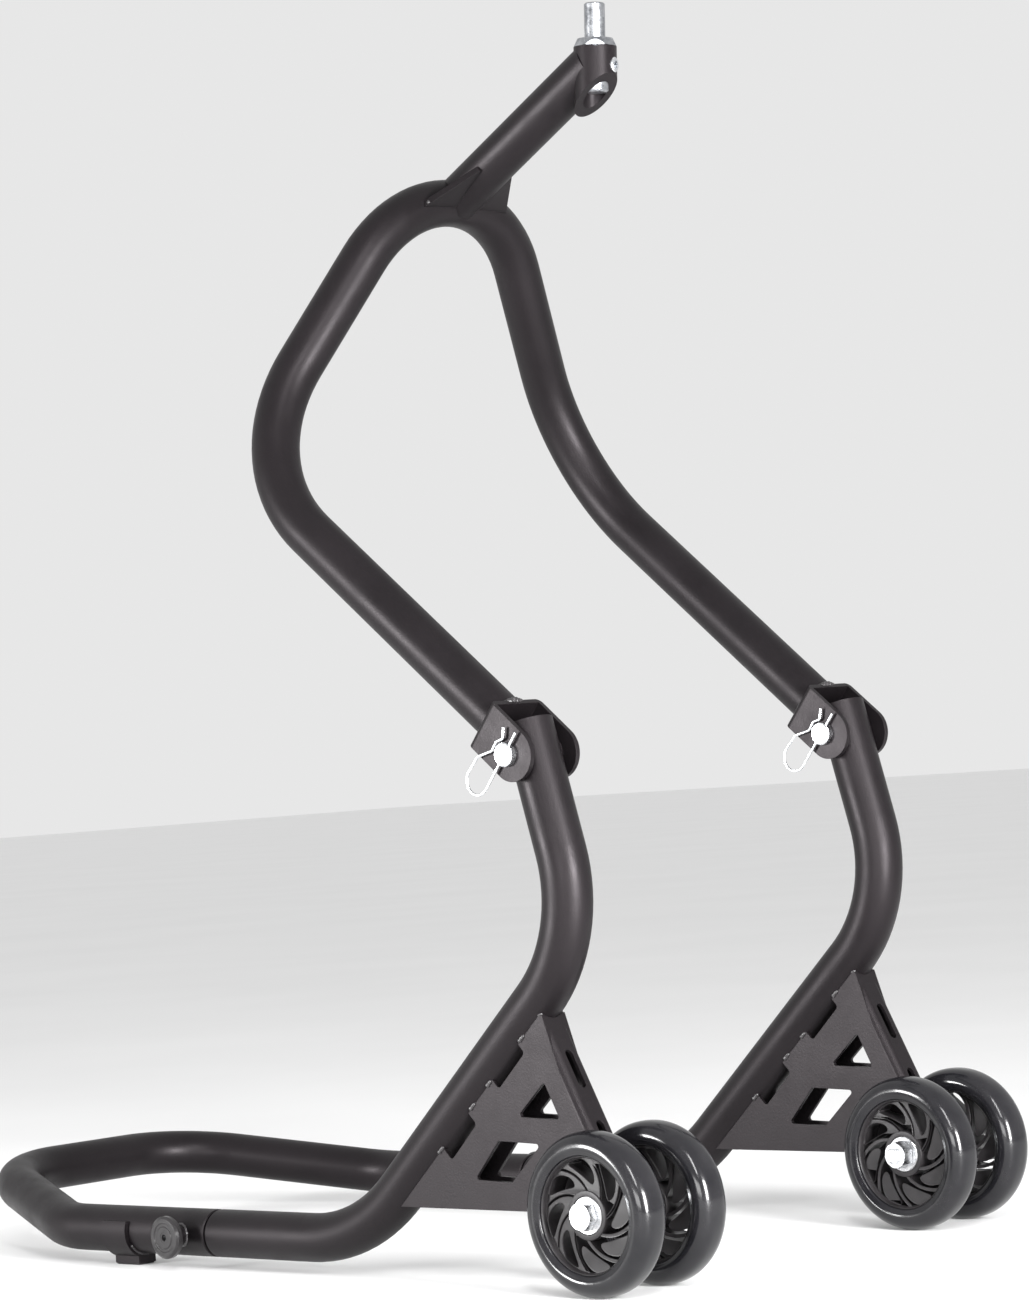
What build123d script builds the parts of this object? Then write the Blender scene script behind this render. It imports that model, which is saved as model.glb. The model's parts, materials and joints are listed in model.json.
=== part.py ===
"""Front paddock stand that lifts a motorcycle by its steering head.

Axes: +X points from the handle to the wheels, +Y to the left, +Z up. The origin lies on the
floor, half way along the stand. Side-view positions below are (forward of the wheel axle, height).
"""
from build123d import *
from math import atan2, cos, degrees, radians, sin
import os

os.makedirs("parts", exist_ok=True)

# ---------------------------------------------------------------- driving dimensions (mm)
tube_d = 38.0
tube_wall = 2.0
neck_d = 36.2
side_y = 184.0              # side tubes, left and right of the middle
sliding = 0.1               # radial clearance of sliding and running fits
weld_gap = 0.05             # between two pieces that are welded together

wheel_d = 120.0
tyre_w = 30.0
wheel_y = 33.0              # wheels, either side of their side tube
axle_d = 12.0

rail_z = 28.0
joint_x = -438.0            # where the handle meets the side tube
joint_gap = 2.0
low_bend = (-272.0, rail_z)
knee = (-23.5, 256.0)
low_bend_r = 150.0
knee_r = 110.0
riser_lean = 14.3           # top of the riser, degrees back from upright

pin_xz = (-62.5, 393.0)     # clevis pin
riser_offset = 3.6          # riser axis passes this far in front of the clevis pin
riser_above_pin = 22.5
clevis_pin_d = 18.0
sleeve_r = 11.0             # welded cross sleeve the clevis pin turns in

handle_bend_x = -625.0
handle_end_x = -810.0
handle_end_y = 102.0
handle_end_z = 56.0
handle_bend_r = 88.0
handle_end_r = 92.0
spigot_grip = 90.0          # length of spigot inside the handle
spigot_root = 70.0

foot_x = -545.0
foot_l = 29.0
foot_r = 22.6               # strap round the lower half of the tube
foot_rise = 9.0             # strap ends this far above the tube axis
foot_pad = 18.0             # width of the flat pad under it
knob_x = -467.0
knob_d = 34.0

arm_angle = 40.0            # lower arms of the upper frame above the horizontal
clevis_reach = 31.8         # clevis pin to the inside of the clevis back plate
clevis_plate = 4.0
clevis_inside = 45.0
ear_half = 19.7
ear_shift = 2.15            # ears and arm stand this far above the pin, square to the arm
ear_past_pin = 3.8
arm_bend = (-349.5, 636.0)
arm_bend_y = 190.5          # the arms spread slightly towards their bends
arm_bend_r = 132.0
arch_corner = (-253.0, 936.0)
arch_r = 104.0

neck_angle = 27.9
neck_l = 181.0
head_xz = (-116.3, 920.0)   # point on the axis of the head socket
head_lean = 4.0             # degrees forward
socket_d = 34.0
stem_d = 20.0
head_pin_d = 16.5
head_pin_l = 28.0

# ---------------------------------------------------------------- derived places
handle_reach = -handle_end_x + tube_d / 2
axle_x = (handle_reach - wheel_d / 2) / 2
axle_z = wheel_d / 2
tube_r = tube_d / 2
bore_r = tube_r - tube_wall
sides = {"left": 1, "right": -1}


def at(xz, y=0.0):
    """Point from a side-view position."""
    return Vector(axle_x + xz[0], y, xz[1])


def along(angle):
    """Unit vector in the side view, degrees up from +X."""
    return Vector(cos(radians(angle)), 0, sin(radians(angle)))


def side_plane(xz, y, angle=0.0):
    """Sketch plane seen from the right: local x leans up by angle, local z points to -Y."""
    return Plane(origin=at(xz, y), x_dir=along(angle), z_dir=(0, -1, 0))


def save(part, name):
    part.label = name
    export_step(part, f"parts/{name}.step")


def save_mirrored(part, name):
    """One node holding a piece and its mirror image on the other side."""
    with BuildPart() as pair:
        add(part)
        mirror(part, about=Plane.XZ)
    save(pair.part, name)


def save_repeated(part, name):
    """One node holding a piece on the left and the same piece moved to the right."""
    with BuildPart() as pair:
        add(part)
        add(Pos(0, -2 * side_y, 0) * part)
    save(pair.part, name)


def largest(shape):
    """The main piece left after a cut, without loose slivers."""
    return Part(shape.solids().sort_by(SortBy.VOLUME)[-1].wrapped)


# ---------------------------------------------------------------- tubes of the base
riser_up = along(90 + riser_lean)
riser_front = along(riser_lean)
riser_foot = at(pin_xz) + riser_front * riser_offset
riser_top = riser_foot + riser_up * riser_above_pin
pin_point = at(pin_xz)


def side_path(y):
    ends = [at((joint_x, rail_z), y), at(low_bend, y), at(knee, y)]
    return ends + [Vector(riser_top.X, y, riser_top.Z)]


def side_sweep(y, outer, inner=0.0):
    """A bar or tube that follows one side tube's centreline."""
    with BuildPart() as swept:
        with BuildLine():
            FilletPolyline(*side_path(y), radius=[low_bend_r, knee_r])
        with BuildSketch(Plane(origin=side_path(y)[0], z_dir=(1, 0, 0))):
            Circle(outer)
            if inner:
                Circle(inner, mode=Mode.SUBTRACT)
        sweep()
    return swept.part


for side, s in sides.items():
    y = s * side_y
    with BuildPart() as side_tube:
        add(side_sweep(y, tube_r, bore_r))
        # cross hole for the pivot sleeve
        with BuildSketch(Plane(origin=at(pin_xz, y), z_dir=(0, 1, 0))):
            Circle(sleeve_r + weld_gap)
        extrude(amount=30, both=True, mode=Mode.SUBTRACT)
        end_rims = side_tube.edges().filter_by(GeomType.CIRCLE).filter_by(
            lambda e: abs(e.radius - tube_r) < 0.01)
        chamfer(end_rims.sort_by(Axis.X)[0], 0.9)
    save(side_tube.part, f"{side}_side_tube")

    with BuildPart() as spigot:
        with BuildSketch(Plane(origin=at((joint_x - spigot_grip, rail_z), y), z_dir=(1, 0, 0))):
            Circle(bore_r - sliding)
            Circle(bore_r - sliding - 2.5, mode=Mode.SUBTRACT)
        extrude(amount=spigot_grip + spigot_root)
        end_rims = spigot.edges().filter_by(GeomType.CIRCLE).filter_by(
            lambda e: abs(e.radius - bore_r + sliding) < 0.01)
        chamfer(end_rims.sort_by(Axis.X)[0], 1.2)
    save(spigot.part, f"{side}_spigot")

with BuildPart() as sleeve:
    with BuildSketch(Plane(origin=at(pin_xz, side_y), z_dir=(0, 1, 0))):
        Circle(sleeve_r)
        Circle(clevis_pin_d / 2 + sliding / 2, mode=Mode.SUBTRACT)
    extrude(amount=clevis_inside / 2 - 0.6, both=True)
save_repeated(sleeve.part, "pivot_sleeves")

# ---------------------------------------------------------------- wheel brackets
bracket_w = 25.0
bracket_t = 3.0
axle_boss_r = 20.0
front_top = (-56.0, 192.0)
front_low = (-19.3, 119.3)
fold_angle = degrees(atan2(front_top[1] - front_low[1], front_top[0] - front_low[0]))
fold_up = along(fold_angle)
front_end = (7.7, 65.7)     # lower end of the front edge, level with the axle
bracket_outline = [(-222, 56.6), (-19.7, 56.6), (0, 60), front_end, front_top,
                   (-59, 201), (-82, 200), (-236, 61)]
upper_window = [(-61.4, 152), (-90.5, 126.3), (-47.8, 124.6)]
lower_window = [(-111.8, 108.1), (-68.5, 106.4), (-100.5, 77.6), (-138.2, 79)]
weld_notches = [((-80.3, 173), (-107.2, 147.8)), ((-134.9, 119.3), (-160.5, 94.7))]
notch_l, notch_w = 39.0, 14.0
notch_shift = (-4.3, 4.7)   # notches reach in under the tube
slot_from = 19.5            # first slot below the top of the front web
slot_l, slot_w = 31.0, 7.5
slot_pitch = 57.5
web_end = 118.0             # length of the front web

for side, s in sides.items():
    y = s * side_y
    mid = side_plane((0, 0), y)
    web = Plane(origin=at(front_top, y), x_dir=-fold_up, z_dir=along(fold_angle - 90))
    with BuildPart() as bracket:
        with BuildSketch(mid):
            with BuildLine():
                Polyline(*bracket_outline, close=True)
            make_face()
        extrude(amount=bracket_w / 2, both=True)
        folds = bracket.edges().filter_by(GeomType.LINE).filter_by(
            lambda e: abs((e % 0.5).dot(fold_up)) > 0.9999)
        fillet(folds, 6.0)
        with BuildSketch(mid):
            with Locations((0, axle_z)):
                Circle(axle_boss_r)
        extrude(amount=bracket_w / 2, both=True)
        # hollow between the two side plates, open at the back and below
        with BuildSketch(web.offset(-bracket_t)):
            with Locations((0, 0)):
                Rectangle(2 * web_end, bracket_w - 2 * bracket_t)
            with Locations((web_end + 100, 0)):
                Rectangle(200, bracket_w - 2 * bracket_t)
        extrude(amount=-400, mode=Mode.SUBTRACT)
        with BuildSketch(web.offset(60)):
            with Locations((web_end + 100, 0)):
                Rectangle(200, bracket_w - 2 * bracket_t)
        extrude(amount=-120, mode=Mode.SUBTRACT)
        # windows, weld notches and axle hole through both plates
        with BuildSketch(mid) as windows:
            for corners in (upper_window, lower_window):
                with BuildLine():
                    Polyline(*corners, close=True)
                make_face()
            fillet(windows.vertices(), 2.0)
            with Locations((0, axle_z)):
                Circle(axle_d / 2 + sliding)
            for a, b in weld_notches:
                middle = ((a[0] + b[0]) / 2 + notch_shift[0], (a[1] + b[1]) / 2 + notch_shift[1])
                with Locations(Location(middle, degrees(atan2(a[1] - b[1], a[0] - b[0])))):
                    RectangleRounded(notch_l, notch_w, 3.0)
        extrude(amount=bracket_w, both=True, mode=Mode.SUBTRACT)
        # two slots in the front web
        with BuildSketch(web):
            with Locations((slot_from + slot_l / 2, 0), (slot_from + slot_l / 2 + slot_pitch, 0)):
                SlotOverall(slot_l, slot_w)
        extrude(amount=12, both=True, mode=Mode.SUBTRACT)
    fitted = bracket.part - side_sweep(y, tube_r + weld_gap)
    save(largest(fitted), f"{side}_wheel_bracket")

# ---------------------------------------------------------------- wheels
hub_r = 43.0
hub_w = 25.0
hub_nose_w = 19.0
web_w = 15.0
bearing_od, bearing_w = 28.0, 8.0
spokes = 8


def spiral(r, turn):
    return (r * cos(radians(turn)), r * sin(radians(turn)))


half = tyre_w / 2
for side, s in sides.items():
    for place, out in (("outer", 1), ("inner", -1)):
        name = f"{side}_{place}_wheel"
        y = s * (side_y + out * wheel_y)
        centre = side_plane((0, axle_z), y)
        with BuildPart() as tyre:
            with BuildSketch(Plane(origin=at((0, axle_z), y), x_dir=(1, 0, 0), z_dir=(0, 0, 1))):
                with BuildLine():
                    Polyline((hub_r + 7, half), (hub_r + 1.5, half), (hub_r, half - 2.5),
                             (hub_r, 2.5 - half), (hub_r + 1.5, -half), (hub_r + 7, -half))
                    for k in (1, -1):
                        Spline((hub_r + 7, k * half), (wheel_d / 2 - 3, k * 12.6),
                               (wheel_d / 2 - 0.7, k * 8.6), tangents=((1, 0), (0.17, -k)))
                    ThreePointArc((wheel_d / 2 - 0.7, 8.6), (wheel_d / 2, 0),
                                  (wheel_d / 2 - 0.7, -8.6))
                make_face()
            revolve(axis=Axis(at((0, axle_z), y), (0, 1, 0)))
        save(tyre.part, f"{name}_tyre")

        with BuildPart() as hub:
            with BuildSketch(centre):
                Circle(hub_r - weld_gap)
                Circle(hub_r - 4.5, mode=Mode.SUBTRACT)
            extrude(amount=hub_w / 2, both=True)
            with BuildSketch(centre):
                Circle(hub_r - 4)
            extrude(amount=web_w / 2, both=True)
            with BuildSketch(centre):
                Circle(18.5)
            extrude(amount=hub_nose_w / 2, both=True)
            # bearing seats with a shoulder between them
            with BuildSketch(centre):
                Circle(axle_d / 2 + 3.6)
            extrude(amount=hub_nose_w, both=True, mode=Mode.SUBTRACT)
            for face in (1, -1):
                with BuildSketch(centre.offset(face * (hub_nose_w / 2 - bearing_w))):
                    Circle(bearing_od / 2)
                extrude(amount=face * (bearing_w + 1), mode=Mode.SUBTRACT)
            # curved pockets between the spokes
            with BuildSketch(centre) as pockets:
                with PolarLocations(0, spokes):
                    with BuildLine():
                        Spline(spiral(27.5, 66), spiral(34, 74), spiral(38.3, 87))
                        RadiusArc(spiral(38.3, 87), spiral(38.3, 110), -38.3)
                        Spline(spiral(38.3, 110), spiral(32, 98), spiral(26, 79))
                        Line(spiral(26, 79), spiral(27.5, 66))
                    make_face()
            extrude(amount=hub_w, both=True, mode=Mode.SUBTRACT)
            # narrow curved grooves that split each spoke, cut from both faces
            for face in (1, -1):
                with BuildSketch(centre.offset(face * 1.0)) as grooves:
                    with PolarLocations(0, spokes):
                        with BuildLine():
                            Spline(spiral(20.5, 33), spiral(30, 46), spiral(38.3, 69))
                            Line(spiral(38.3, 69), spiral(38.3, 74))
                            Spline(spiral(38.3, 74), spiral(29.5, 52), spiral(20.5, 41))
                            Line(spiral(20.5, 41), spiral(20.5, 33))
                        make_face()
                extrude(amount=face * hub_w, mode=Mode.SUBTRACT)
        save(hub.part, f"{name}_hub")

        with BuildPart() as bearings:
            for face in (1, -1):
                with BuildSketch(centre.offset(face * (hub_nose_w / 2 - bearing_w))):
                    Circle(bearing_od / 2 - weld_gap)
                    Circle(axle_d / 2 + sliding, mode=Mode.SUBTRACT)
                extrude(amount=face * bearing_w)
            rims = bearings.edges().filter_by(GeomType.CIRCLE)
            chamfer(rims.filter_by(lambda e: e.radius > 10), 0.6)
        save(bearings.part, f"{name}_bearings")

# ---------------------------------------------------------------- axle hardware
nut_af, nut_h = 19.0, 10.0
head_h = 7.5
bolt_overhang = 4.0
running_gap = 0.3
hub_out = wheel_y + hub_nose_w / 2        # outer bearing face from the side plane

with BuildPart() as collars:
    for k in (1, -1):
        inner = bracket_w / 2 + weld_gap
        outer = wheel_y - hub_nose_w / 2 - running_gap
        with BuildSketch(Plane(origin=at((0, axle_z), side_y + k * inner), z_dir=(0, k, 0))):
            Circle(9)
            Circle(axle_d / 2 + sliding, mode=Mode.SUBTRACT)
        extrude(amount=outer - inner)
save_mirrored(collars.part, "axle_collars")

with BuildPart() as bearing_spacers:
    for k in (1, -1):
        with BuildSketch(Plane(origin=at((0, axle_z), side_y + k * wheel_y), z_dir=(0, 1, 0))):
            Circle(8.5)
            Circle(axle_d / 2 + sliding, mode=Mode.SUBTRACT)
        extrude(amount=hub_nose_w / 2 - bearing_w - running_gap, both=True)
save_mirrored(bearing_spacers.part, "bearing_spacers")

bolt_length = 2 * hub_out + 2 * running_gap + nut_h + bolt_overhang
bolt_seat = Plane(origin=at((0, axle_z), side_y + hub_out + running_gap), x_dir=(1, 0, 0),
                  z_dir=(0, 1, 0))
with BuildPart() as bolt:
    with BuildSketch(bolt_seat):
        RegularPolygon(nut_af / 2, 6, major_radius=False, rotation=11)
    extrude(amount=head_h)
    with BuildSketch(bolt_seat):
        Circle(nut_af / 2 * 1.22)
    extrude(amount=head_h, taper=14, mode=Mode.INTERSECT)
    with BuildSketch(bolt_seat):
        Circle(axle_d / 2)
    extrude(amount=-bolt_length)
    chamfer(bolt.faces().sort_by(Axis.Y)[0].edges(), 1.2)
save_mirrored(bolt.part, "axle_bolts")

nut_seat = Plane(origin=at((0, axle_z), side_y - hub_out - running_gap), x_dir=(1, 0, 0),
                 z_dir=(0, -1, 0))
with BuildPart() as nut:
    with BuildSketch(nut_seat):
        RegularPolygon(nut_af / 2, 6, major_radius=False, rotation=23)
    extrude(amount=nut_h)
    with BuildSketch(nut_seat):
        Circle(nut_af / 2 * 1.22)
    extrude(amount=nut_h, taper=10.5, mode=Mode.INTERSECT)
    with BuildSketch(nut_seat):
        Circle(axle_d / 2 + weld_gap)
    extrude(amount=nut_h, mode=Mode.SUBTRACT)
save_mirrored(nut.part, "axle_nuts")

# ---------------------------------------------------------------- handle
handle_points = [at((joint_x - joint_gap, rail_z), side_y), at((handle_bend_x, rail_z), side_y),
                 at((handle_end_x, handle_end_z), handle_end_y)]
handle_points += [Vector(p.X, -p.Y, p.Z) for p in reversed(handle_points)]
handle_radii = [handle_bend_r, handle_end_r, handle_end_r, handle_bend_r]
boss_r = 8.0
boss_from = tube_r - 2.6    # the boss passes through the tube wall
boss_to = tube_r + 6.0
stud_r = 4.0

with BuildPart() as boss:
    with BuildSketch(Plane(origin=at((knob_x, rail_z), side_y + boss_from), z_dir=(0, 1, 0))):
        Circle(boss_r)
    extrude(amount=boss_to - boss_from)
    fillet(boss.faces().sort_by(Axis.Y)[-1].edges(), 0.8)
    with BuildSketch(Plane(origin=at((knob_x, rail_z), side_y), z_dir=(0, 1, 0))):
        Circle(stud_r + sliding / 2)
    extrude(amount=40, mode=Mode.SUBTRACT)
    with BuildSketch(Plane(origin=at((knob_x - 20, rail_z), side_y), z_dir=(1, 0, 0))):
        Circle(bore_r + sliding)
    extrude(amount=40, mode=Mode.SUBTRACT)
save_mirrored(boss.part, "knob_bosses")

with BuildPart() as handle:
    with BuildLine():
        FilletPolyline(*handle_points, radius=handle_radii)
    with BuildSketch(Plane(origin=handle_points[0], z_dir=(-1, 0, 0))):
        Circle(tube_r)
        Circle(bore_r, mode=Mode.SUBTRACT)
    sweep()
    end_rims = handle.edges().filter_by(GeomType.CIRCLE).filter_by(
        lambda e: abs(e.radius - tube_r) < 0.01)
    chamfer(end_rims.group_by(Axis.X)[-1], 0.9)
    # holes for the knob bosses, in the outer wall of each rail
    for s in sides.values():
        with BuildSketch(Plane(origin=at((knob_x, rail_z), s * (side_y + 10)), z_dir=(0, s, 0))):
            Circle(boss_r + weld_gap)
        extrude(amount=20, mode=Mode.SUBTRACT)
save(handle.part, "handle_tube")

for side, s in sides.items():
    y = s * side_y
    with BuildPart() as foot:
        with BuildSketch(Plane(origin=at((foot_x - foot_l / 2, 0), y), x_dir=(0, 1, 0),
                               z_dir=(1, 0, 0))):
            with Locations((0, rail_z)):
                Circle(foot_r)
            with Locations((0, foot_r / 2)):
                Rectangle(foot_pad, foot_r)
            with Locations((0, rail_z)):
                Circle(tube_r + weld_gap, mode=Mode.SUBTRACT)
            with Locations((0, rail_z + foot_rise + 20)):
                Rectangle(60, 40, mode=Mode.SUBTRACT)
        extrude(amount=foot_l)
        chamfer(foot.faces().sort_by(Axis.Z)[0].edges(), 1.5)
    save(foot.part, f"{side}_foot")

    stud_from = bore_r - sliding + running_gap
    neck_to = boss_to + 4.5
    with BuildPart() as stud:
        with BuildSketch(Plane(origin=at((knob_x, rail_z), y + s * stud_from), z_dir=(0, s, 0))):
            Circle(stud_r)
        extrude(amount=neck_to + 3.0 - stud_from)
        chamfer(stud.faces().filter_by(Axis.Y).sort_by(Axis.Y)[0 if s > 0 else -1].edges(), 0.8)
    save(stud.part, f"{side}_knob_stud")

    with BuildPart() as knob:
        with BuildSketch(Plane(origin=at((knob_x, rail_z), y), x_dir=(1, 0, 0), z_dir=(0, 0, 1))):
            with BuildLine():
                Polyline((4, s * (boss_to + 0.4)), (9.5, s * (boss_to + 0.4)),
                         (10.5, s * (boss_to + 4)), (knob_d / 2 - 1, s * (boss_to + 5)),
                         (knob_d / 2, s * (boss_to + 6.5)), (knob_d / 2, s * (boss_to + 10)),
                         (knob_d / 2 - 2, s * (boss_to + 11.5)), (12, s * (boss_to + 11.5)),
                         (11.2, s * (boss_to + 10.8)), (9.2, s * (boss_to + 10.8)),
                         (8.4, s * (boss_to + 11.5)), (4, s * (boss_to + 11.5)), close=True)
            make_face()
        revolve(axis=Axis(at((knob_x, rail_z), y), (0, 1, 0)))
    core_from = boss_to + 7.6
    with BuildPart() as knob_core:
        with BuildSketch(Plane(origin=at((knob_x, rail_z), y + s * core_from), z_dir=(0, s, 0))):
            Circle(4.2)
            RegularPolygon(2.5, 6, major_radius=False, mode=Mode.SUBTRACT)
        extrude(amount=boss_to + 11.2 - core_from)
    save(largest(knob.part + knob_core.part), f"{side}_lock_knob")

# ---------------------------------------------------------------- upper frame
arm_out = along(180 - arm_angle)
arm_across = along(90 - arm_angle)
arm_start = pin_point + arm_out * (clevis_reach + clevis_plate - 1.0) + arm_across * ear_shift
arch_points = [Vector(arm_start.X, side_y, arm_start.Z), at(arm_bend, arm_bend_y)]
arch_path = arch_points + [at(arch_corner)] + [Vector(p.X, -p.Y, p.Z) for p in arch_points[::-1]]
arch_radii = [arm_bend_r, arch_r, arm_bend_r]


def arch_sweep(outer, inner=0.0):
    """A bar or tube that follows the arch's centreline, cut off square at the clevis plates."""
    with BuildPart() as swept:
        with BuildLine():
            FilletPolyline(*arch_path, radius=arch_radii)
        with BuildSketch(Plane(origin=arch_path[0], z_dir=arch_path[1] - arch_path[0])):
            Circle(outer)
            if inner:
                Circle(inner, mode=Mode.SUBTRACT)
        sweep()
        with BuildSketch(Plane(origin=at(pin_xz) + arm_out * (clevis_reach + clevis_plate + weld_gap),
                               x_dir=(0, 1, 0), z_dir=-arm_out)):
            Rectangle(600, 100)
        extrude(amount=20, mode=Mode.SUBTRACT)
    return swept.part


save(arch_sweep(tube_r, bore_r), "arch_tube")
arch_space = arch_sweep(tube_r + weld_gap)

outer_half = clevis_inside / 2 + clevis_plate
back = -(clevis_reach + clevis_plate)
for side, s in sides.items():
    y = s * side_y
    local = side_plane(pin_xz, y, -arm_angle)
    with BuildPart() as clevis:
        with BuildSketch(local):
            with Locations((ear_past_pin, ear_shift)):
                Circle(ear_half)
            with Locations(((back + ear_past_pin) / 2, ear_shift)):
                Rectangle(ear_past_pin - back, 2 * ear_half)
        extrude(amount=outer_half, both=True)
        bends = clevis.edges().filter_by(lambda e: e.geom_type == GeomType.LINE
                                         and abs(e.length - 2 * ear_half) < 0.01)
        fillet(bends, 5.0)
        with BuildSketch(local):
            with Locations((60 - clevis_reach, 0)):
                Rectangle(120, 80)
        extrude(amount=clevis_inside / 2, both=True, mode=Mode.SUBTRACT)
        with BuildSketch(local):
            Circle(clevis_pin_d / 2 + weld_gap)
        extrude(amount=40, both=True, mode=Mode.SUBTRACT)
    save(clevis.part, f"{side}_clevis")

# pins pushed in from the left, with a clip through their right end
pin_end = side_y - outer_half - 5.2
pin_head = side_y + outer_half + 0.3
clip_y = side_y - outer_half - 2.7
clip_dir = along(50)
with BuildPart() as clevis_pin:
    with BuildSketch(Plane(origin=at(pin_xz, pin_end), z_dir=(0, 1, 0))):
        Circle(clevis_pin_d / 2)
    extrude(amount=pin_head - pin_end)
    with BuildSketch(Plane(origin=at(pin_xz, pin_head), z_dir=(0, 1, 0))):
        Circle(12)
    extrude(amount=4.5)
    chamfer(clevis_pin.faces().sort_by(Axis.Y)[0].edges(), 1.2)
    fillet(clevis_pin.faces().sort_by(Axis.Y)[-1].edges(), 1.2)
    with BuildSketch(Plane(origin=at(pin_xz, clip_y), z_dir=clip_dir)):
        Circle(1.25)
    extrude(amount=20, both=True, mode=Mode.SUBTRACT)
save_repeated(clevis_pin.part, "clevis_pins")

# wire clip: one leg through the pin, a loop, and a leg bent over the outside of the pin
clip_plane = Plane(origin=at(pin_xz, clip_y), x_dir=clip_dir, z_dir=(0, -1, 0))
clip_route = [(20, 0), (-43, 0), (-43, 22.5), (-17, 20.5), (-5, 11.3), (3, 11.9), (8.6, 7.6),
              (16, 12)]
with BuildPart() as clip:
    with BuildLine(clip_plane):
        FilletPolyline(*clip_route, radius=[11, 11, 5, 4, 2.5, 3])
    with BuildSketch(Plane(origin=clip_plane.from_local_coords(clip_route[0]), z_dir=-clip_dir)):
        Circle(1.1)
    sweep()
save_repeated(clip.part, "spring_clips")

# ---------------------------------------------------------------- neck, socket and head pin
head_up = along(90 - head_lean)
head_point = at(head_xz)
socket_top = 22.0
screw_turn = 16.0           # set screw, degrees to the left of straight ahead
socket_low = -15.4
cut_angle = 38.7
neck_axis = along(neck_angle)
neck_from = head_point + Vector(0, 0, 9.9) - neck_axis * neck_l

with BuildPart() as socket:
    with BuildSketch(Plane(origin=head_point - head_up * 45, z_dir=head_up)):
        Circle(socket_d / 2)
    extrude(amount=45 + socket_top)
    with BuildSketch(Plane(origin=head_point + head_up * socket_low, x_dir=(0, 1, 0),
                           z_dir=along(cut_angle - 90))):
        Rectangle(120, 120)
    extrude(amount=60, mode=Mode.SUBTRACT)
    with BuildSketch(Plane(origin=head_point, z_dir=head_up)):
        Circle(stem_d / 2 + sliding)
    extrude(amount=80, both=True, mode=Mode.SUBTRACT)
    # threaded hole for the set screw, in front
    screw_from = head_point + head_up * 7.0
    screw_dir = Plane(origin=(0, 0, 0), x_dir=along(-head_lean), z_dir=head_up).rotated(
        (0, 0, screw_turn)).x_dir
    with BuildSketch(Plane(origin=screw_from, z_dir=screw_dir)):
        Circle(6 + sliding / 2)
    extrude(amount=30, mode=Mode.SUBTRACT)
    # small index notch in the top rim
    with BuildSketch(Plane(origin=head_point + head_up * socket_top,
                           z_dir=Vector(0.687, -0.727, 0))):
        Circle(2.2)
    extrude(amount=30, mode=Mode.SUBTRACT)
save(socket.part, "head_socket")

with BuildPart() as socket_space:
    with BuildSketch(Plane(origin=head_point - head_up * 60, z_dir=head_up)):
        Circle(socket_d / 2 + weld_gap)
    extrude(amount=120)

with BuildPart() as neck:
    with BuildSketch(Plane(origin=neck_from, z_dir=neck_axis)):
        Circle(neck_d / 2)
        Circle(neck_d / 2 - tube_wall, mode=Mode.SUBTRACT)
    extrude(amount=neck_l)
save(largest(neck.part - arch_space - socket_space.part), "neck_tube")

with BuildPart() as neck_space:
    with BuildSketch(Plane(origin=neck_from, z_dir=neck_axis)):
        Circle(neck_d / 2 + weld_gap)
    extrude(amount=neck_l - 6)

gusset_t = 5.0
gusset_low = (-271.5, 832.6)
gusset_high = (-229.5, 861.2)
gusset_angle = degrees(atan2(gusset_high[1] - gusset_low[1], gusset_high[0] - gusset_low[0]))
for side, s in sides.items():
    with BuildPart() as gusset:
        with BuildSketch(Plane(origin=at(gusset_low), x_dir=along(gusset_angle),
                               z_dir=along(gusset_angle + 90))):
            with BuildLine():
                Polyline((-14, s * 5), (-14, s * 57), (-3, s * 53), (50, s * 19), (50, s * 5),
                         close=True)
            make_face()
        extrude(amount=gusset_t)
    save(largest(gusset.part - arch_space - neck_space.part), f"{side}_neck_gusset")

with BuildPart() as set_screw:
    with BuildSketch(Plane(origin=screw_from + screw_dir * (stem_d / 2 + 0.4), z_dir=screw_dir)):
        Circle(6)
    extrude(amount=7.2)
    chamfer(set_screw.edges().filter_by(GeomType.CIRCLE), 0.6)
    with BuildSketch(Plane(origin=screw_from + screw_dir * (stem_d / 2 + 3.4), z_dir=screw_dir)):
        RegularPolygon(3, 6, major_radius=False)
    extrude(amount=10, mode=Mode.SUBTRACT)
save(set_screw.part, "head_set_screw")

flange_af = 30.0
flange_h = 6.0
seat_z = head_point + head_up * (socket_top + 0.3)
flange_plane = Plane(origin=seat_z, x_dir=(0, 1, 0), z_dir=head_up)
with BuildPart() as head_pin:
    with BuildSketch(flange_plane):
        RegularPolygon(flange_af / 2, 6, major_radius=False, rotation=12)
    extrude(amount=flange_h)
    with BuildSketch(flange_plane):
        Circle(flange_af / 2 * 1.12)
    extrude(amount=flange_h, taper=24, mode=Mode.INTERSECT)
    with BuildSketch(flange_plane):
        Circle(stem_d / 2)
    extrude(amount=-36)
    with BuildSketch(flange_plane.offset(flange_h)):
        Circle(head_pin_d / 2)
    extrude(amount=head_pin_l)
    chamfer(head_pin.faces().sort_by(Axis.Z)[-1].edges(), 1.0)
    chamfer(head_pin.faces().sort_by(Axis.Z)[0].edges(), 1.5)
save(head_pin.part, "head_pin")
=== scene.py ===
"""Front paddock stand: black powder-coated tube, zinc hardware and hard glossy wheels.

Metres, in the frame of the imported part: +X from the handle to the wheels, +Y left, +Z up.
"""

import json
from math import atan2, cos, degrees, pi, radians, sin, sqrt

import bmesh
import bpy
from mathutils import Matrix, Vector


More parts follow.
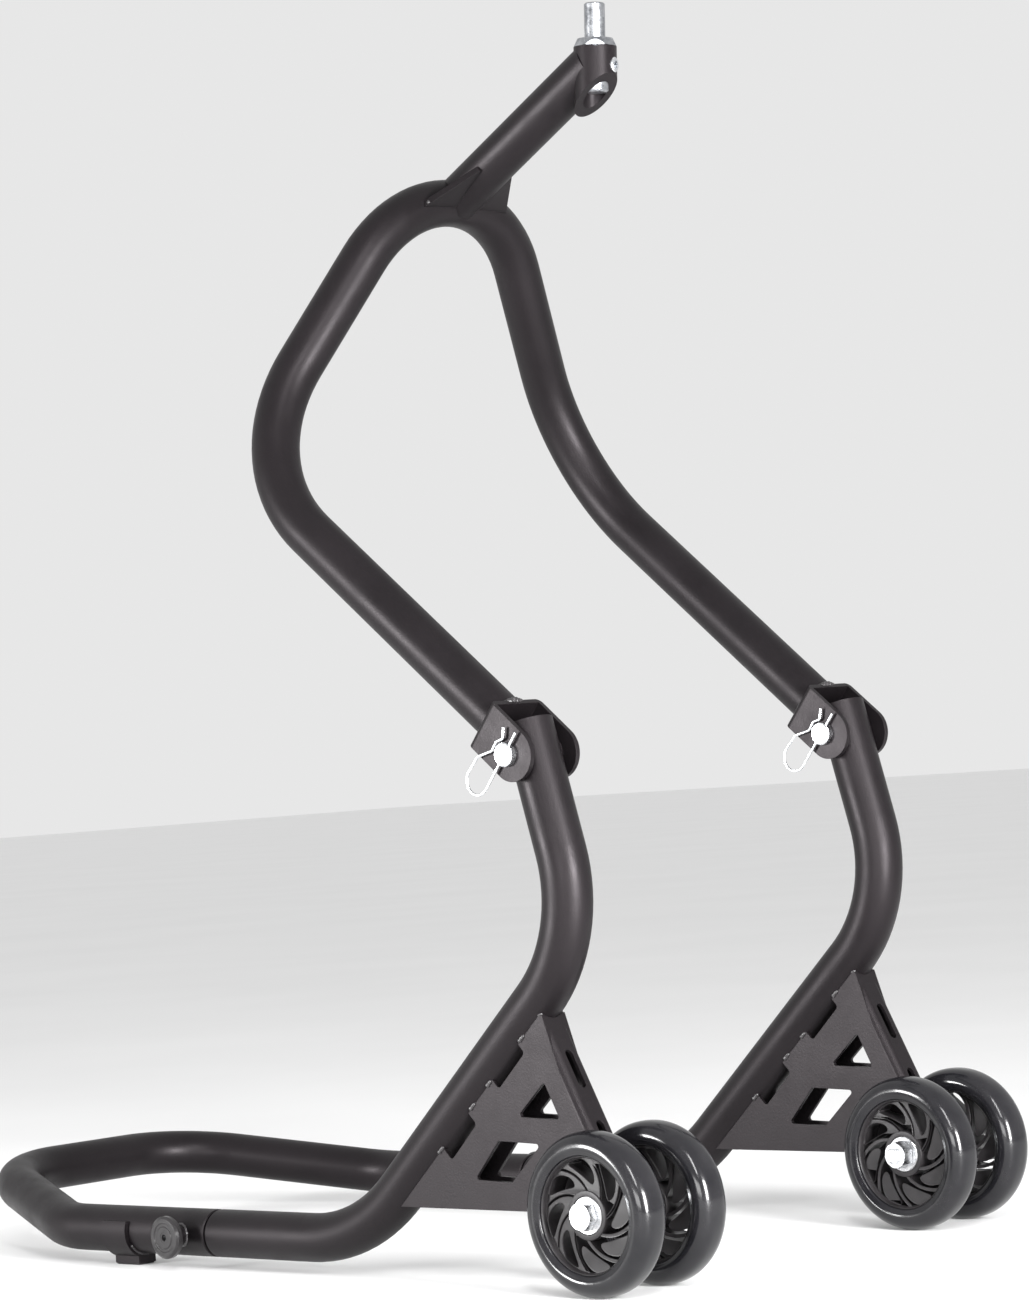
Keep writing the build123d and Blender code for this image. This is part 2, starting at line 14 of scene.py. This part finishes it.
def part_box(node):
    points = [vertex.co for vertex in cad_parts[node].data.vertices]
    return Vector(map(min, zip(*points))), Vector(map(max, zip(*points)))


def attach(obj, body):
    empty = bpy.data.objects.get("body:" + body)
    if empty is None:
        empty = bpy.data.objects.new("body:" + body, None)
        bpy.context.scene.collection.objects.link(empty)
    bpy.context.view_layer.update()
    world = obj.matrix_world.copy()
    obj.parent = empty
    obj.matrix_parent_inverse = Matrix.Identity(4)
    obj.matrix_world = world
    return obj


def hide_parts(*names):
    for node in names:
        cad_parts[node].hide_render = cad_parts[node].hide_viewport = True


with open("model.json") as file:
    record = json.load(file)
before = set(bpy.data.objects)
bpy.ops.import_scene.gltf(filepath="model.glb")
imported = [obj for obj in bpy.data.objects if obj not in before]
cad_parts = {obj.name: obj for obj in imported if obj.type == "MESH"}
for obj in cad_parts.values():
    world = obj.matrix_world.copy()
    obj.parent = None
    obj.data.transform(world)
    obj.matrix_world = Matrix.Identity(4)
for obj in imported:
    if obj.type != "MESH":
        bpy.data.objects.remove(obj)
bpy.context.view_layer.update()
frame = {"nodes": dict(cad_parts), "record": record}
MM = 0.001
sides = {"left": 1, "right": -1}


# ---------------------------------------------------------------- places read from the frame
def middle(node):
    low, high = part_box(node)
    return (low + high) / 2


side_y = middle("left_side_tube").y
axle = middle("left_outer_wheel_tyre")
pin = middle("pivot_sleeves")
rail_z = middle("left_spigot").z
tube_r = 19.0 * MM
neck_r = 18.1 * MM
socket_r = 17.0 * MM


def along(angle):
    """Unit vector in the side view, degrees up from +X."""
    return Vector((cos(radians(angle)), 0, sin(radians(angle))))


def at(x, z, y=0.0):
    """Point from a side-view position in mm: forward of the wheel axle, and height."""
    return Vector((axle.x + x * MM, y, z * MM))


# centrelines of the tubes: forward of the axle and height, in mm
low_bend = (-272, 28)
knee = (-23.5, 256)
arm_bend = (-349.5, 636)
arch_corner = (-253, 936)
head_socket = (-116.3, 920)
arm_bend_y = 190.5 * MM
crown_r = 104.0 * MM
arm_angle = 40.0            # arms above the horizontal
neck_angle = 27.9
head_angle = 86.0           # head socket's axis, 4 degrees forward of upright


# ---------------------------------------------------------------- node helpers
class Nodes:
    """A material's node tree with short calls for the nodes used here."""

    def __init__(self, name):
        self.material = bpy.data.materials.new(name)
        self.material.use_nodes = True
        self.tree = self.material.node_tree
        self.shader = self.tree.nodes["Principled BSDF"]
        self.coords = self.add("ShaderNodeTexCoord").outputs["Object"]

    def add(self, kind, **values):
        node = self.tree.nodes.new(kind)
        for name, value in values.items():
            setattr(node, name, value)
        return node

    def link(self, a, b):
        self.tree.links.new(a, b)

    def noise(self, scale, detail=3.0, roughness=0.5, stretch=None):
        node = self.add("ShaderNodeTexNoise")
        node.inputs["Scale"].default_value = scale
        node.inputs["Detail"].default_value = detail
        node.inputs["Roughness"].default_value = roughness
        source = self.coords
        if stretch:
            mapping = self.add("ShaderNodeMapping")
            mapping.inputs["Scale"].default_value = stretch
            self.link(source, mapping.inputs["Vector"])
            source = mapping.outputs["Vector"]
        self.link(source, node.inputs["Vector"])
        return node.outputs["Fac"]

    def spread(self, value, low, high, start=0.3, end=0.7):
        node = self.add("ShaderNodeMapRange")
        node.inputs["From Min"].default_value = start
        node.inputs["From Max"].default_value = end
        node.inputs["To Min"].default_value = low
        node.inputs["To Max"].default_value = high
        self.link(value, node.inputs["Value"])
        return node.outputs["Result"]

    def mix(self, fac, a, b):
        node = self.add("ShaderNodeMix", data_type="RGBA")
        self.link(fac, node.inputs[0])
        for socket, colour in ((node.inputs[6], a), (node.inputs[7], b)):
            if isinstance(colour, tuple):
                socket.default_value = (*colour, 1)
            else:
                self.link(colour, socket)
        return node.outputs[2]

    def join(self, a, b, operation="ADD"):
        node = self.add("ShaderNodeMath", operation=operation)
        for socket, value in zip(node.inputs, (a, b)):
            if isinstance(value, (int, float)):
                socket.default_value = value
            else:
                self.link(value, socket)
        return node.outputs[0]

    def relief(self, height, strength, distance, rounding=0.0):
        bump = self.add("ShaderNodeBump")
        bump.inputs["Strength"].default_value = strength
        bump.inputs["Distance"].default_value = distance
        self.link(height, bump.inputs["Height"])
        if rounding:
            bevel = self.add("ShaderNodeBevel", samples=4)
            bevel.inputs["Radius"].default_value = rounding
            self.link(bevel.outputs["Normal"], bump.inputs["Normal"])
        self.link(bump.outputs["Normal"], self.shader.inputs["Normal"])

    def set(self, **values):
        for name, value in values.items():
            self.shader.inputs[name.replace("_", " ")].default_value = value


# ---------------------------------------------------------------- materials
def powder_coat(name, rounding=0.0):
    """Satin black powder coat: fine orange peel, faint cloudiness, rubbed patches."""
    n = Nodes(name)
    roughness = 0.4
    cloud = n.noise(9.0, 4.0)
    speck = n.noise(1500.0, 2.0, 0.6)
    rubbed = n.noise(38.0, 5.0, 0.62)
    black = (0.0036, 0.003, 0.0034)
    grey = (0.0068, 0.0056, 0.0063)
    dusty = (0.015, 0.0127, 0.014)
    base = n.mix(n.spread(cloud, 0.0, 1.0), black, grey)
    base = n.mix(n.spread(speck, 0.0, 0.35, 0.5, 0.72), base, dusty)
    n.link(base, n.shader.inputs["Base Color"])
    rough = n.spread(rubbed, roughness - 0.05, roughness + 0.06)
    rough = n.join(rough, n.spread(speck, -0.04, 0.05))
    n.link(rough, n.shader.inputs["Roughness"])
    height = n.join(n.noise(620.0, 2.0, 0.55), n.join(speck, 0.5, "MULTIPLY"))
    n.relief(height, 0.16, 0.0006, rounding)
    n.set(Specular_IOR_Level=0.17, Specular_Tint=(1.0, 0.92, 0.96, 1.0))
    return n.material


def weld_paint(name):
    """Powder coat over a weld bead: shinier and lumpier than the tube."""
    n = Nodes(name)
    lumps = n.noise(420.0, 3.0, 0.6)
    base = n.mix(n.spread(lumps, 0.0, 1.0), (0.014, 0.013, 0.0135), (0.035, 0.032, 0.034))
    n.link(base, n.shader.inputs["Base Color"])
    n.link(n.spread(lumps, 0.22, 0.38), n.shader.inputs["Roughness"])
    n.relief(n.join(lumps, n.noise(1300.0, 2.0)), 0.35, 0.0008)
    return n.material


def zinc_plate(name, tint=(0.86, 0.87, 0.88), dull=(0.62, 0.64, 0.67), roughness=0.24):
    """Bright zinc: cool, a little cloudy, with fine turning marks and handling scuffs."""
    n = Nodes(name)
    cloud = n.noise(160.0, 4.0, 0.6)
    lines = n.noise(900.0, 2.0, 0.5, stretch=(1.0, 0.12, 1.0))
    scuffs = n.noise(2300.0, 3.0, 0.7)
    base = n.mix(n.spread(cloud, 0.0, 1.0), dull, tint)
    base = n.mix(n.spread(scuffs, 0.0, 0.4, 0.58, 0.75), base, (0.42, 0.43, 0.45))
    n.link(base, n.shader.inputs["Base Color"])
    rough = n.join(n.spread(cloud, roughness - 0.06, roughness + 0.1), n.spread(lines, -0.03, 0.05))
    n.link(rough, n.shader.inputs["Roughness"])
    n.relief(n.join(lines, scuffs), 0.05, 0.0002)
    n.set(Metallic=1.0)
    return n.material


def hard_tyre(name):
    """Cast black polyurethane: deep gloss, slight haze, faint rolling marks round the tread."""
    n = Nodes(name)
    haze = n.noise(34.0, 4.0, 0.6)
    marks = n.noise(420.0, 3.0, 0.65)
    base = n.mix(n.spread(haze, 0.0, 1.0), (0.005, 0.005, 0.0062), (0.011, 0.0105, 0.012))
    base = n.mix(n.spread(marks, 0.0, 0.2, 0.6, 0.8), base, (0.034, 0.032, 0.034))
    n.link(base, n.shader.inputs["Base Color"])
    rough = n.join(n.spread(haze, 0.13, 0.22), n.spread(marks, 0.0, 0.08, 0.55, 0.8))
    n.link(rough, n.shader.inputs["Roughness"])
    n.relief(n.noise(240.0, 2.0), 0.05, 0.0004)
    n.set(IOR=1.45, Specular_IOR_Level=0.3, Coat_Weight=0.18, Coat_Roughness=0.05)
    return n.material


def moulded_plastic(name, tone=1.0, roughness=0.36, gloss=0.0):
    """Moulded black nylon with a fine grain and faint flow marks."""
    n = Nodes(name)
    flow = n.noise(70.0, 4.0, 0.6, stretch=(1.0, 3.0, 1.0))
    grain = n.noise(1800.0, 2.0, 0.6)
    dark = (0.008 * tone, 0.0073 * tone, 0.0078 * tone)
    light = (0.017 * tone, 0.0155 * tone, 0.0165 * tone)
    n.link(n.mix(n.spread(flow, 0.0, 1.0), dark, light), n.shader.inputs["Base Color"])
    rough = n.join(n.spread(flow, roughness - 0.05, roughness + 0.08), n.spread(grain, -0.04, 0.04))
    n.link(rough, n.shader.inputs["Roughness"])
    n.relief(grain, 0.14, 0.0004, 0.0004)
    n.set(Specular_IOR_Level=0.26, Coat_Weight=gloss, Coat_Roughness=0.12)
    return n.material


def ground_steel(name):
    """Ground bearing rings with a film of oil."""
    n = Nodes(name)
    grind = n.noise(1600.0, 2.0, 0.5, stretch=(1.0, 0.1, 1.0))
    film = n.noise(210.0, 4.0)
    n.link(n.mix(n.spread(film, 0.0, 1.0), (0.36, 0.36, 0.37), (0.56, 0.56, 0.57)),
           n.shader.inputs["Base Color"])
    n.link(n.join(n.spread(grind, 0.22, 0.34), n.spread(film, -0.05, 0.06)),
           n.shader.inputs["Roughness"])
    n.relief(grind, 0.08, 0.0003)
    n.set(Metallic=1.0)
    return n.material


coat = powder_coat("satin black powder coat")
plate_coat = powder_coat("powder coat on plates", rounding=0.0007)
bead_paint = weld_paint("coated weld")
zinc = zinc_plate("bright zinc")
pin_zinc = zinc_plate("zinc head pin", (0.46, 0.47, 0.49), (0.24, 0.25, 0.27), 0.27)
tyre_black = hard_tyre("black polyurethane")
hub_nylon = moulded_plastic("black nylon hub", 1.25)
knob_nylon = moulded_plastic("black knob", 1.0, 0.3, 0.2)
steel = ground_steel("ground steel")

by_slot = {"black_paint": coat, "foot_paint": coat, "zinc": zinc, "tyre": tyre_black,
           "hub_plastic": hub_nylon, "bearing_steel": steel, "knob_plastic": knob_nylon}
for entry in frame["record"]["subparts"]:
    node = frame["nodes"][entry["node"]]
    node.data.materials.clear()
    node.data.materials.append(by_slot[entry["material_slot"]])
frame["nodes"]["head_pin"].data.materials[0] = pin_zinc
for side in sides:
    for plate in ("clevis", "wheel_bracket", "neck_gusset"):
        frame["nodes"][f"{side}_{plate}"].data.materials[0] = plate_coat


# ---------------------------------------------------------------- mesh helpers
def place(mesh, name, material, body, smooth=35.0):
    """Makes a mesh a visible piece that rides on a body."""
    piece = bpy.data.objects.new(name.replace(" ", "_"), mesh)
    bpy.context.scene.collection.objects.link(piece)
    mesh.materials.clear()
    mesh.materials.append(material)
    mesh.shade_smooth()
    if smooth:
        mesh.set_sharp_from_angle(angle=radians(smooth))
    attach(piece, body)
    return piece


def lathe(profile, centre, steps=128):
    """Closed ring: profile points (radius, offset along Y) turned about the Y axis at centre."""
    mesh = bpy.data.meshes.new("turned")
    verts = []
    faces = []
    count = len(profile)
    for i in range(steps):
        turn = 2 * pi * i / steps
        for r, y in profile:
            verts.append(centre + Vector((r * cos(turn), y, r * sin(turn))))
    for i in range(steps):
        for j in range(count):
            a = i * count + j
            b = i * count + (j + 1) % count
            c = ((i + 1) % steps) * count + (j + 1) % count
            d = ((i + 1) % steps) * count + j
            faces.append((a, d, c, b))
    mesh.from_pydata(verts, [], faces)
    bm = bmesh.new()
    bm.from_mesh(mesh)
    bmesh.ops.recalc_face_normals(bm, faces=bm.faces)
    bm.to_mesh(mesh)
    bm.free()
    return mesh


def joined(meshes):
    """One mesh from several."""
    bm = bmesh.new()
    for mesh in meshes:
        bm.from_mesh(mesh)
    result = bpy.data.meshes.new("joined")
    bm.to_mesh(result)
    bm.free()
    return result


bead_pitch = 3.2 * MM
bead_sides = 10


def bead(points, radius, closed=False):
    """A weld bead along points: a rounded cord with overlapping ripples, tapered at open ends."""
    around = bead_sides
    pts = [Vector(p) for p in points]
    if closed:
        pts.append(pts[0])
    lengths = [0.0]
    for a, b in zip(pts, pts[1:]):
        lengths.append(lengths[-1] + (b - a).length)
    total = lengths[-1]
    steps = max(6, int(total / (bead_pitch / 4)))
    rings = []
    k = 0
    for i in range(steps + (0 if closed else 1)):
        s = total * i / steps
        while k < len(pts) - 2 and lengths[k + 1] < s:
            k += 1
        t = (s - lengths[k]) / max(1e-9, lengths[k + 1] - lengths[k])
        centre = pts[k].lerp(pts[k + 1], t)
        along_bead = (pts[k + 1] - pts[k]).normalized()
        phase = (s / bead_pitch) % 1.0
        r = radius * (0.82 + 0.3 * sqrt(max(0.0, 1 - (2 * phase - 1) ** 2)))
        r *= 1 + 0.10 * sin(s * 900) * sin(s * 310 + 1.0)
        if not closed:
            end = min(s, total - s) / (radius * 1.2)
            r *= sqrt(max(0.02, 1 - (1 - min(1.0, end)) ** 2))
        rings.append((centre, along_bead, r))
    mesh = bpy.data.meshes.new("bead")
    verts = []
    faces = []
    for centre, direction, r in rings:
        side = direction.orthogonal().normalized()
        reference = Vector((0.31, 0.85, 0.42)).cross(direction)
        if reference.length > 0.1:
            side = reference.normalized()
        other = direction.cross(side)
        for j in range(around):
            turn = 2 * pi * j / around
            verts.append(centre + side * (r * cos(turn)) + other * (r * sin(turn)))
    n = len(rings)
    for i in range(n if closed else n - 1):
        for j in range(around):
            a = i * around + j
            b = i * around + (j + 1) % around
            c = ((i + 1) % n) * around + (j + 1) % around
            d = ((i + 1) % n) * around + j
            faces.append((a, b, c, d))
    if not closed:
        faces.append(tuple(range(around))[::-1])
        faces.append(tuple(range((n - 1) * around, n * around)))
    mesh.from_pydata(verts, [], faces)
    return mesh


# ---------------------------------------------------------------- wheels
hub_r = 43.0
hub_fit_r = hub_r - 0.05
spokes = 8
crown_half = 15.0           # half the tyre's width
crown_from = 48.0           # the round shoulder starts at this radius
crown_h = 12.0
slot_from = 17.0            # radii between which the narrow slots run
slot_l = 23.6
disc_half = 8.6             # half the spoke disc's thickness
disc_round = 0.55


def tyre_profile():
    """Half section of the tyre, mirrored: rim seat, flank with a step, round shoulder, crown."""
    half = [(hub_r, 11.2), (43.3, 12.9), (44.2, 13.7), (45.6, 13.9), (46.4, 14.4), (47.4, 14.8)]
    for i in range(15):
        turn = radians(4 + 86 * i / 14)
        half.append((crown_from + crown_h * sin(turn) ** 0.92, crown_half * cos(turn) ** 0.78))
    half[-1] = (crown_from + crown_h, 0.0)
    whole = half + [(r, -y) for r, y in reversed(half[:-1])]
    return [(r * MM, y * MM) for r, y in whole]


def swirl(r, turn):
    """Point at a radius and an angle in degrees."""
    return Vector((r * cos(radians(turn)), r * sin(radians(turn)), 0))


def slot_turn(r):
    """How far the curved slot has turned by radius r (degrees)."""
    return 46.0 * ((r - 16.5) / 25.0) ** 0.85


def slot_outline(start):
    """Narrow slot along the middle of a spoke."""
    one = []
    two = []
    for i in range(10):
        r = slot_from + slot_l * i / 9
        half_turn = degrees((0.75 + 0.02 * (r - slot_from)) / r)
        one.append(swirl(r, start + slot_turn(r) + half_turn))
        two.append(swirl(r, start + slot_turn(r) - half_turn))
    return one + two[::-1]


def pocket_outline(start):
    """Deep pocket between two spokes: narrow near the nose, wide at the rim."""
    points = []
    radii = [23.6, 24.6, 26.5, 29.0, 32.0, 35.0, 37.6, 39.4, 40.4]
    widths = [0.9, 2.4, 4.2, 5.9, 7.4, 8.2, 8.5, 8.0, 6.6]
    for sign in (1, -1):
        edge = []
        for r, w in zip(radii, widths):
            centre = start + slot_turn(r) + 180 / spokes
            edge.append(swirl(r, centre + sign * degrees(w / r)))
        if sign < 0:
            arc_from = points[-1]
            a = degrees(atan2(arc_from.y, arc_from.x))
            b = degrees(atan2(edge[-1].y, edge[-1].x))
            while b > a:
                b -= 360
            points += [swirl(40.75, a + (b - a) * t) for t in (0.15, 0.38, 0.62, 0.85)]
            edge = edge[::-1]
        points += edge
    return points


def plate_from_outlines(outlines, half_thickness, bevel):
    """Flat plate with holes and rounded edges, lying in local XY."""
    curve = bpy.data.curves.new("outline", "CURVE")
    curve.dimensions = "2D"
    curve.fill_mode = "BOTH"
    for points in outlines:
        spline = curve.splines.new("POLY")
        spline.points.add(len(points) - 1)
        for p, target in zip(points, spline.points):
            target.co = (p.x * MM, p.y * MM, 0, 1)
        spline.use_cyclic_u = True
    curve.offset = -bevel * MM
    curve.extrude = (half_thickness - bevel) * MM
    curve.bevel_depth = bevel * MM
    curve.bevel_resolution = 2
    maker = bpy.data.objects.new("outline", curve)
    bpy.context.scene.collection.objects.link(maker)
    bpy.context.view_layer.update()
    mesh = bpy.data.meshes.new_from_object(maker.evaluated_get(
        bpy.context.evaluated_depsgraph_get()))
    bpy.data.objects.remove(maker)
    return mesh


def spoke_disc(centre, phase):
    """Disc with a slot and a pocket for each spoke, turned by phase degrees."""
    circle = [swirl(41.6, 360 * i / 160) for i in range(160)]
    nose = [swirl(14.2, 360 * i / 64) for i in range(64)]
    outlines = [circle, nose]
    for i in range(spokes):
        start = phase + 360 * i / spokes
        outlines.append(slot_outline(start))
        outlines.append(pocket_outline(start))
    mesh = plate_from_outlines(outlines, disc_half, disc_round)
    # seen from -Y: local x to +X, local y up; faces dished towards the rim
    for vertex in mesh.vertices:
        x, y, z = vertex.co
        r = sqrt(x * x + y * y) / MM
        dish = 1.0 - 0.16 * min(1.0, max(0.0, (r - 17.0) / 22.0))
        vertex.co = centre + Vector((x, z * dish, y))
    mesh.flip_normals()
    return mesh


def hub_mesh(centre, phase):
    """Rim and nose rings with the spoke disc between them."""
    half_rim = [(41.2, 8.0), (41.2, 9.2), (41.7, 11.2), (42.3, 11.9), (42.9, 11.6),
                (hub_fit_r, 10.8)]
    half_nose = [(14.05, 9.1), (14.3, 9.4), (17.0, 9.5), (17.7, 9.3), (18.0, 8.7), (18.1, 7.5)]
    rings = []
    for half in (half_rim, half_nose):
        whole = [(r, -y) for r, y in half] + half[::-1]
        rings.append(lathe([(r * MM, y * MM) for r, y in whole], centre))
    return joined(rings + [spoke_disc(centre, phase)])


phases = {"right_outer": 38.0, "right_inner": 14.0, "left_outer": 27.0, "left_inner": 3.0}
for side, s in sides.items():
    for place_name in ("outer", "inner"):
        name = f"{side}_{place_name}"
        centre = middle(f"{name}_wheel_tyre")
        tyre = place(lathe(tyre_profile(), centre, 192), f"{name} tyre", tyre_black,
                     f"{name}_wheel", 50)
        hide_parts(f"{name}_wheel_tyre")
        hub = place(hub_mesh(centre, phases[name]), f"{name} hub", hub_nylon,
                    f"{name}_wheel", 30)
        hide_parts(f"{name}_wheel_hub")

# ---------------------------------------------------------------- weld beads
def weld(mesh, name, body):
    place(mesh, name, bead_paint, body, 0)


riser_from = at(*low_bend)
riser_to = at(*knee)
riser_dir = (riser_to - riser_from).normalized()
riser_side = Vector((riser_dir.z, 0, -riser_dir.x))     # down and forward from the tube
plate_y = 12.5 * MM
plate_edge = sqrt(tube_r ** 2 - plate_y ** 2)


def on_plate_edge(x, s, k):
    """Point where a bracket plate meets the tube, at x mm forward of the axle."""
    reach = (axle.x + x * MM - riser_from.x - riser_side.x * plate_edge) / riser_dir.x
    p = riser_from + riser_dir * reach + riser_side * plate_edge
    return Vector((p.x, s * side_y + k * (plate_y + 0.2 * MM), p.z))


# short stitches between the notches, in mm forward of the axle, and one over the web's top
stitches = [(-84, -78), (-120, -114.5), (-139, -133), (-175, -169)]
for side, s in sides.items():
    beads = []
    for k in (1, -1):
        for a, b in stitches:
            beads.append(bead([on_plate_edge(a, s, k), on_plate_edge(b, s, k)], 1.5 * MM))
    top = [on_plate_edge(-63, s, 1), on_plate_edge(-58.2, s, 0.45), on_plate_edge(-58.2, s, -0.45),
           on_plate_edge(-63, s, -1)]
    beads.append(bead(top, 1.7 * MM))
    weld(joined(beads), f"{side} bracket welds", "base")

arm_out = along(180 - arm_angle)
arm_across = along(90 - arm_angle)
plate_out = 35.9 * MM       # clevis pin to the outside of the clevis back plate
arm_shift = 2.15 * MM
arm_ring_r = tube_r + 0.4 * MM
for side, s in sides.items():
    centre = pin + arm_out * plate_out + arm_across * arm_shift
    centre.y = s * side_y
    ring = []
    for i in range(48):
        turn = 2 * pi * i / 48
        ring.append(centre + arm_across * (arm_ring_r * cos(turn))
                    + Vector((0, arm_ring_r * sin(turn), 0)))
    weld(bead(ring, 2.2 * MM, closed=True), f"{side} arm weld", "upper_frame")

# neck, head socket and arch crown
neck_dir = along(neck_angle)
head = at(*head_socket)
head_up = along(head_angle)
neck_above_head = 9.9 * MM
neck_on_axis = head + Vector((0, 0, neck_above_head))
leg_dir = (at(*arch_corner) - at(*arm_bend, arm_bend_y)).normalized()
leg_up = Vector((leg_dir.x, 0, leg_dir.z)).normalized()
half_turn = atan2(abs(leg_dir.y), sqrt(leg_dir.x ** 2 + leg_dir.z ** 2))
crown_centre = at(*arch_corner) - leg_up * (crown_r / sin(half_turn))


def crown_gap(p):
    """Distance from a point to the crown tube's surface."""
    local = p - crown_centre
    flat = Vector((local.y, local.dot(leg_up)))
    across = local.dot(Vector((leg_up.z, 0, -leg_up.x)))
    return sqrt((flat.length - crown_r) ** 2 + across ** 2) - tube_r


def socket_gap(p):
    """Distance from a point to the head socket's surface."""
    local = p - head
    return (local - head_up * local.dot(head_up)).length - socket_r


def reach_surface(start, direction, gap, far):
    """First point on the way where gap falls to zero."""
    steps = 160
    for i in range(steps):
        p = start + direction * (far * i / steps)
        if gap(p) <= 0:
            return p
    return None


def joint_bead(start, direction, gap, far, radius):
    """Bead where the neck's outline, moved along direction, meets another tube."""
    ring = []
    up = neck_dir.cross(Vector((0, 1, 0)))
    for i in range(56):
        turn = 2 * pi * i / 56
        offset = Vector((0, cos(turn), 0)) * neck_r * 1.01 + up * (neck_r * 1.01 * sin(turn))
        p = reach_surface(start + offset, direction, gap, far)
        if p is None:
            return None
        ring.append(p)
    return bead(ring, radius, closed=True)


mid_neck = neck_on_axis - neck_dir * (90 * MM)
neck_search = 170 * MM
for name, direction, gap, size in (("neck root weld", -neck_dir, crown_gap, 1.9),
                                   ("neck head weld", neck_dir, socket_gap, 2.7)):
    mesh = joint_bead(mid_neck, direction, gap, neck_search, size * MM)
    if mesh:
        weld(mesh, name, "upper_frame")

for side, s in sides.items():
    low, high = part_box(f"{side}_neck_gusset")
    outer_y = high.y if s > 0 else low.y
    inner_y = low.y if s > 0 else high.y
    tip = Vector((high.x - 1.5 * MM, inner_y + s * 1.0 * MM, high.z - 2.5 * MM))
    foot = Vector((low.x + 2.5 * MM, outer_y - s * 1.5 * MM, low.z + 3.5 * MM))
    beads = [bead([tip - neck_dir * (9 * MM), tip + neck_dir * (2 * MM)], 1.9 * MM),
             bead([foot + Vector((0, -s * 9 * MM, 1.2 * MM)), foot], 1.9 * MM)]
    weld(joined(beads), f"{side} gusset welds", "upper_frame")

# knob bosses and feet
boss_ring_r = 8.3 * MM
foot_ring_r = tube_r + 0.5 * MM
for side, s in sides.items():
    knob = middle(f"{side}_lock_knob")
    ring = []
    for i in range(36):
        turn = 2 * pi * i / 36
        x = boss_ring_r * cos(turn)
        z = boss_ring_r * sin(turn)
        ring.append(Vector((knob.x + x, s * (side_y + sqrt(tube_r ** 2 - z * z)), rail_z + z)))
    weld(bead(ring, 1.3 * MM, closed=True), f"{side} boss weld", "handle")
    low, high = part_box(f"{side}_foot")
    beads = []
    for x in (low.x, high.x):
        arc = []
        for i in range(9):
            turn = radians(-58 + 116 * i / 8)
            arc.append(Vector((x, s * side_y + foot_ring_r * sin(turn),
                               rail_z - foot_ring_r * cos(turn))))
        beads.append(bead(arc, 1.2 * MM))
    weld(joined(beads), f"{side} foot welds", "handle")

# ---------------------------------------------------------------- floor, light and camera
def pale_floor():
    """Smooth matt floor with a faint cloud."""
    n = Nodes("pale floor")
    cloud = n.noise(2.0, 3.0)
    n.link(n.mix(n.spread(cloud, 0.0, 1.0), (0.82, 0.82, 0.82), (0.85, 0.85, 0.85)),
           n.shader.inputs["Base Color"])
    n.link(n.spread(cloud, 0.62, 0.7), n.shader.inputs["Roughness"])
    return n.material


floor_size = 60.0
bpy.ops.mesh.primitive_plane_add(size=floor_size, location=(0, 0, 0))
floor = bpy.context.object
floor.name = "floor"
floor.data.materials.append(pale_floor())

world = bpy.data.worlds.new("studio")
world.use_nodes = True
bpy.context.scene.world = world
tree = world.node_tree
background = tree.nodes["Background"]
background.inputs["Color"].default_value = (1.0, 1.0, 1.0, 1.0)
background.inputs["Strength"].default_value = 0.8


def softbox(name, place_at, target, width, height, power):
    """Rectangular light aimed at a point: sizes in metres, power in watts."""
    light = bpy.data.lights.new(name, "AREA")
    light.shape = "RECTANGLE"
    light.size = width
    light.size_y = height
    light.energy = power
    lamp = bpy.data.objects.new(name, light)
    lamp.location = place_at
    lamp.rotation_euler = (Vector(target) - Vector(place_at)).to_track_quat("-Z", "Y").to_euler()
    bpy.context.scene.collection.objects.link(lamp)
    return lamp


softbox("key", (2.3, -0.5, 0.5), (0.1, 0.0, 0.12), 0.5, 0.8, 125)
softbox("left fill", (-1.3, -2.5, 0.5), (0.0, 0.0, 0.1), 0.6, 0.8, 105)
softbox("front low", (1.5, -2.6, 0.5), (0.2, 0.0, 0.1), 1.4, 0.6, 34)
softbox("wheel strip", (1.6, -1.3, 1.5), (0.4, -0.2, 0.06), 0.25, 1.0, 26)

# camera: square sensor axes from heading, tilt and a slight roll of the tripod
camera_at = Vector((2.2916, -2.2796, 0.3841))
heading, tilt, roll = radians(43.37), radians(1.70), radians(-3.96)
level = Vector((cos(heading), sin(heading), 0))
ahead_flat = Vector((-sin(heading), cos(heading), 0))
ahead = ahead_flat * cos(tilt) + Vector((0, 0, sin(tilt)))
upright = ahead_flat * -sin(tilt) + Vector((0, 0, cos(tilt)))
right = level * cos(roll) + upright * sin(roll)
up = level * -sin(roll) + upright * cos(roll)
lens = bpy.data.cameras.new("camera")
lens.sensor_fit = "HORIZONTAL"
lens.sensor_width = 36.0
lens.lens = 136.6
camera = bpy.data.objects.new("camera", lens)
camera.matrix_world = Matrix((right, up, -ahead)).transposed().to_4x4()
camera.location = camera_at
bpy.context.scene.collection.objects.link(camera)
bpy.context.scene.camera = camera
bpy.context.scene.view_settings.view_transform = "Standard"

bpy.context.view_layer.update()
